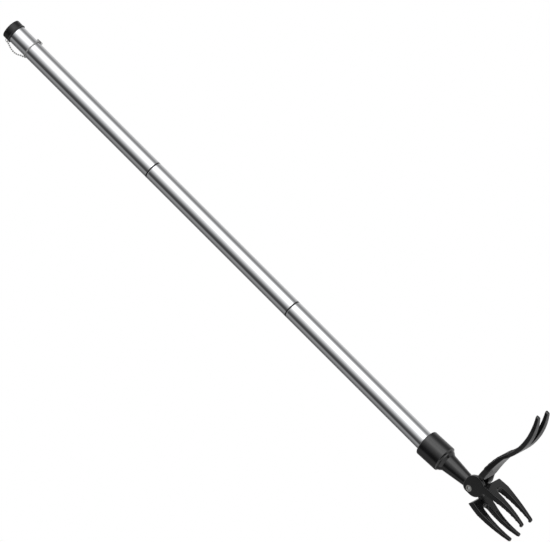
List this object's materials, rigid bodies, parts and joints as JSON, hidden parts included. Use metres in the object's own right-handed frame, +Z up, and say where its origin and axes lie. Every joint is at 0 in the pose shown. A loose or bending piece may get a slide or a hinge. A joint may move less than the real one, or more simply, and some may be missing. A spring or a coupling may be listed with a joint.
{
  "type": "stand up weeder",
  "caption": "Long-handled weeding tool: a sectional tube handle, a forked socket, and a foot pedal lever whose fork closes on a weed's root.",
  "frame": {"origin": "the handle's axis at the socket collar's rim, where the bare tube begins", "axes": "+Z up along the handle towards the end cap, +X towards the pedal, +Y along the pivot towards the moving cheek"},
  "size_m": [0.1941, 0.045, 1.0081],
  "materials": {
    "moulded_black": "glass-filled nylon, moulded, semi-gloss black",
    "cap_plastic": "moulded black plastic, semi-gloss",
    "polished_steel": "drawn and polished stainless steel",
    "zinc_plated": "bright zinc plate",
    "black_rubber": "moulded black rubber",
    "black_oxide": "black oxide",
    "nickel_plated": "nickel plate",
    "bushing_brass": "turned brass",
    "spring_steel": "oiled spring steel",
    "chain_steel": "nickel-plated steel beads"
  },
  "bodies": {
    "handle": {"socket_fork": "moulded_black", "pole_lower": "polished_steel", "pole_middle": "polished_steel", "pole_upper": "polished_steel", "stud_lower": "zinc_plated", "stud_middle": "zinc_plated", "stud_upper": "zinc_plated", "insert_lower": "zinc_plated", "insert_middle": "zinc_plated", "socket_insert": "zinc_plated", "joint_ring_lower": "black_rubber", "joint_ring_upper": "black_rubber", "collar_screw": "black_oxide", "pivot_screw": "nickel_plated", "pivot_nut": "nickel_plated", "thrust_washer": "zinc_plated", "head_washer": "zinc_plated", "torsion_spring": "spring_steel"},
    "pedal_jaw": {"pedal_jaw": "moulded_black", "pivot_bushing": "bushing_brass"},
    "cap": {"end_cap": "cap_plastic", "cap_eyelet": "chain_steel", "tether_chain": "chain_steel", "chain_hoop": "chain_steel", "chain_clasp": "chain_steel"}
  },
  "joints": [
    {"name": "jaw_pivot", "type": "hinge", "parent": "handle", "child": "pedal_jaw", "pos_m": [0.0075, 0, -0.091], "axis": [0, -1, 0], "range_deg": [0, 12], "stiffness_Nm_per_rad": 1.2, "springref_deg": -20.05, "deforming": ["torsion_spring"]},
    {"name": "cap_pull", "type": "slide", "parent": "handle", "child": "cap", "axis": [0, 0, 1], "range_m": [0, 0.025]}
  ]
}
